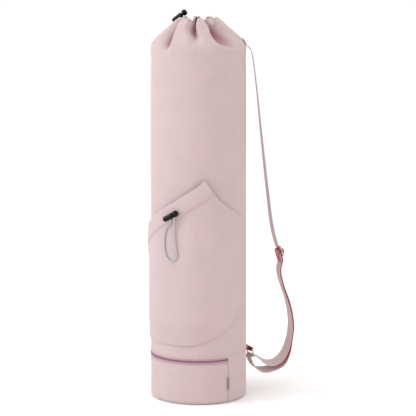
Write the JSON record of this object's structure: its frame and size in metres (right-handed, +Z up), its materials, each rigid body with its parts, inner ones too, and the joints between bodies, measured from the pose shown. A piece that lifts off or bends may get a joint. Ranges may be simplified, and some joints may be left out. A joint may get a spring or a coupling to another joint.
{
  "type": "yoga mat bag",
  "caption": "Tall round cloth bag with a gathered drawcord mouth, a cinched front pocket, a zipped lower compartment, a side zip and an adjustable webbing strap.",
  "frame": {"origin": "centre of the round base, on the floor that the bag stands on", "axes": "+Z up along the bag, -Y towards the front with the pocket, +X towards the side with the strap"},
  "size_m": [0.264, 0.188, 0.6939],
  "materials": {
    "cloth": "matt woven polyester, pale dusty pink",
    "zip": "woven zip tape and nylon coil",
    "webbing": "ribbed polyester webbing",
    "red_webbing": "ribbed webbing, deep red",
    "tag": "bare woven tab",
    "metal": "plated zinc",
    "grip": "moulded sleeve",
    "lock": "moulded black plastic",
    "cord": "braided elastic cord, grey"
  },
  "bodies": {
    "bag": {"main_wall": "cloth", "mouth_casing": "cloth", "base_panel": "cloth", "lower_front_panel": "cloth", "lower_back_panel": "cloth", "lower_zip_tape_lower": "zip", "lower_zip_tape_upper": "zip", "lower_zip_coil": "zip", "compartment_divider": "cloth", "side_tag": "tag", "side_zip_tape_front": "zip", "side_zip_tape_back": "zip", "side_zip_coil": "zip", "side_zip_slider": "metal", "lower_zip_slider": "metal", "pocket_panel": "cloth", "pocket_casing": "cloth", "strap_webbing": "webbing", "ring_tab": "red_webbing", "strap_ring": "metal", "strap_slider": "metal", "pocket_cord_lock_body": "lock", "pocket_cord": "cord", "top_cord_lock_body": "lock", "top_cord": "cord"},
    "side_pull": {"side_zip_pull": "metal", "side_zip_grip": "grip"},
    "lower_pull": {"lower_zip_pull": "metal", "lower_zip_grip": "grip"},
    "pocket_button": {"pocket_cord_lock_button": "lock"},
    "top_button": {"top_cord_lock_button": "lock"}
  },
  "joints": [
    {"name": "side_pull_hinge", "type": "hinge", "parent": "bag", "child": "side_pull", "pos_m": [-0.0883, 0.02201, 0.2785], "axis": [0.2419, 0.9703, 0], "range_deg": [0, 170]},
    {"name": "lower_pull_hinge", "type": "hinge", "parent": "bag", "child": "lower_pull", "pos_m": [-0.0648, 0.06189, 0.0787], "axis": [0, 0, -1], "range_deg": [0, 170]},
    {"name": "pocket_button_slide", "type": "slide", "parent": "bag", "child": "pocket_button", "axis": [-0.7719, 0.4164, -0.4804], "range_m": [0, 0.003], "stiffness_N_per_m": 300, "springref_m": -0.005},
    {"name": "top_button_slide", "type": "slide", "parent": "bag", "child": "top_button", "axis": [-0.758, 0.2593, -0.5984], "range_m": [0, 0.003], "stiffness_N_per_m": 300, "springref_m": -0.005}
  ]
}
